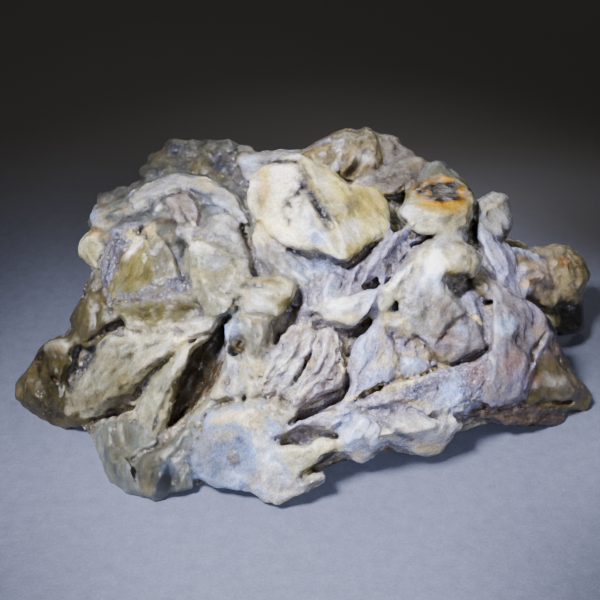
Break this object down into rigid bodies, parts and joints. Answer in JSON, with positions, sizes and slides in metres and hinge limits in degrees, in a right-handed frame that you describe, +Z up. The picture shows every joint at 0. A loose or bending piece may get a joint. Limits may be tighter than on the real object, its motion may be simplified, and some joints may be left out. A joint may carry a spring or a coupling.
{
  "type": "viewing stone",
  "caption": "Rough viewing stone of folded blades and blocks of chalcedony, shown resting on its flat-cut base.",
  "frame": {"origin": "on the flat-cut base, near the middle of the stone's footprint", "axes": "+X along the stone's length, towards the right of its front; +Y away from its front; +Z up from the base"},
  "size_m": [0.201, 0.1236, 0.0813],
  "materials": {
    "stone": "rough, with waxy and glossy patches"
  },
  "bodies": {
    "root": {"stone": "stone"}
  },
  "joints": []
}
